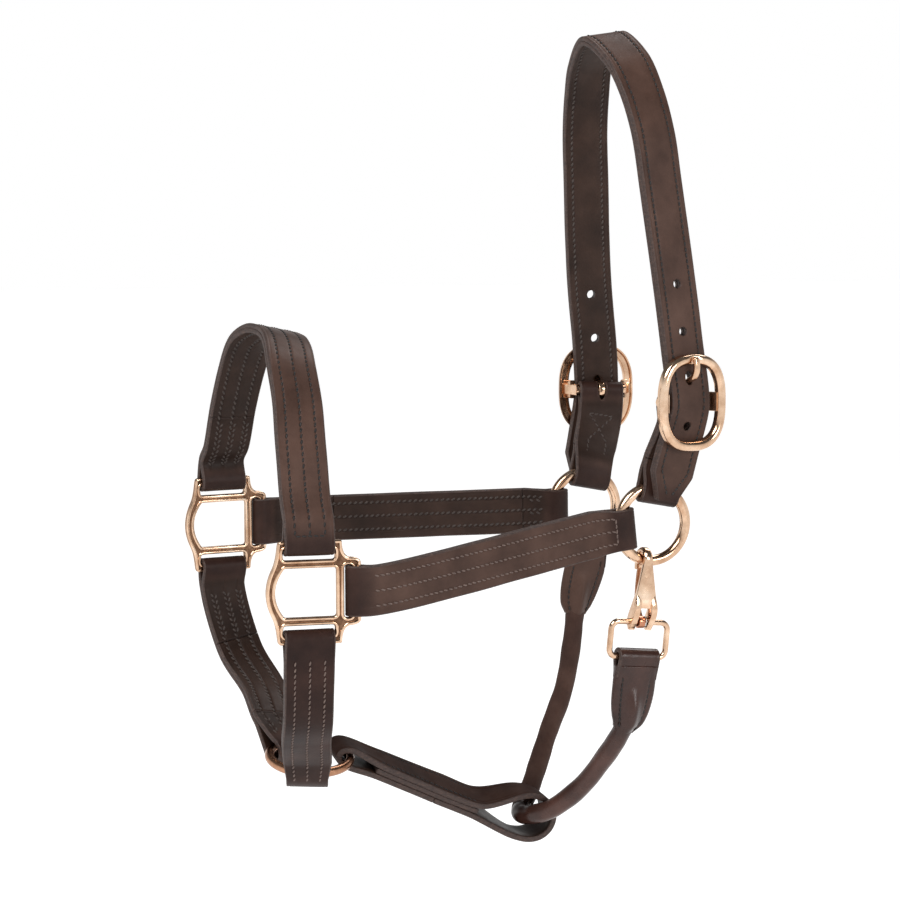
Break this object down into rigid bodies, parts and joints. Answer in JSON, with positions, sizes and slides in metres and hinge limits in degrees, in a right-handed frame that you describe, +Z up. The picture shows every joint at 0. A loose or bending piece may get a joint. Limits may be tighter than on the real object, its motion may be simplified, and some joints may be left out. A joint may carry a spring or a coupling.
{
  "type": "leather headcollar",
  "caption": "Leather headcollar with brass rings, buckles and halter squares, a rolled throat and a snap hook, standing as it hangs from the poll.",
  "frame": {"origin": "middle of the crown strap's underside, where it sits on the poll", "axes": "+X to the horse's left (the near side), -Y towards the nose, +Z up"},
  "size_m": [0.1665, 0.2651, 0.4464],
  "materials": {
    "leather": "smooth bridle leather, lightly polished",
    "lining": "darker flesh-side leather, matt",
    "brass": "polished, a little worn",
    "steel": "bright spring wire",
    "cord": "twisted cord core"
  },
  "bodies": {
    "headstall": {"crown_outer": "leather", "crown_lining": "lining", "near_buckle_frame": "brass", "far_buckle_frame": "brass", "near_buckle_strap": "leather", "far_buckle_strap": "leather"},
    "near_tongue": {"near_buckle_tongue": "brass"},
    "far_tongue": {"far_buckle_tongue": "brass"},
    "near_ring": {"near_throat_ring": "brass"},
    "far_ring": {"far_throat_ring": "brass"},
    "noseband": {"near_square": "brass", "far_square": "brass", "near_cheek_outer": "leather", "near_cheek_lining": "lining", "far_cheek_outer": "leather", "far_cheek_lining": "lining", "nose_outer": "leather", "nose_lining": "lining", "near_chin_outer": "leather", "near_chin_lining": "lining", "far_chin_outer": "leather", "far_chin_lining": "lining"},
    "lead_ring": {"chin_ring": "brass"},
    "connector": {"chin_connector": "leather", "chin_connector_filler": "lining"},
    "throat": {"throat_cover": "leather", "throat_core": "cord", "near_throat_tab": "leather", "far_throat_tab": "leather", "snap_body": "brass", "snap_eye": "brass", "snap_spring": "steel"},
    "gate": {"snap_gate": "brass"}
  },
  "joints": [
    {"name": "near_tongue_hinge", "type": "hinge", "parent": "headstall", "child": "near_tongue", "pos_m": [0.0495, 0.0235, -0.1934], "axis": [-0.1736, 0.9848, 0], "range_deg": [0, 8]},
    {"name": "far_tongue_hinge", "type": "hinge", "parent": "headstall", "child": "far_tongue", "pos_m": [-0.0495, 0.0235, -0.1934], "axis": [-0.1736, -0.9848, 0], "range_deg": [0, 8]},
    {"name": "near_ring_turn", "type": "hinge", "parent": "headstall", "child": "near_ring", "pos_m": [0.0432, 0.0105, -0.2598], "axis": [1, 0, 0], "continuous": true},
    {"name": "far_ring_turn", "type": "hinge", "parent": "headstall", "child": "far_ring", "pos_m": [-0.0432, 0.0105, -0.2598], "axis": [1, 0, 0], "continuous": true},
    {"name": "noseband_swing", "type": "hinge", "parent": "headstall", "child": "noseband", "pos_m": [0, 0.0105, -0.2598], "axis": [1, 0, 0], "range_deg": [-4, 60]},
    {"name": "lead_ring_turn", "type": "hinge", "parent": "noseband", "child": "lead_ring", "pos_m": [0, -0.1708, -0.3816], "axis": [0.1961, 0, 0.9806], "continuous": true},
    {"name": "connector_swing", "type": "hinge", "parent": "noseband", "child": "connector", "pos_m": [0, -0.1494, -0.3816], "axis": [1, 0, 0], "range_deg": [0, 1.6]},
    {"name": "throat_swing", "type": "hinge", "parent": "noseband", "child": "throat", "pos_m": [0, 0.0105, -0.2598], "axis": [1, 0, 0], "range_deg": [-1.5, 0]},
    {"name": "gate_hinge", "type": "hinge", "parent": "throat", "child": "gate", "pos_m": [0.0458, 0.00245, -0.31255], "axis": [0, 0.9954, -0.0958], "range_deg": [0, 10], "stiffness_Nm_per_rad": 0.02, "springref_deg": -17.19}
  ]
}
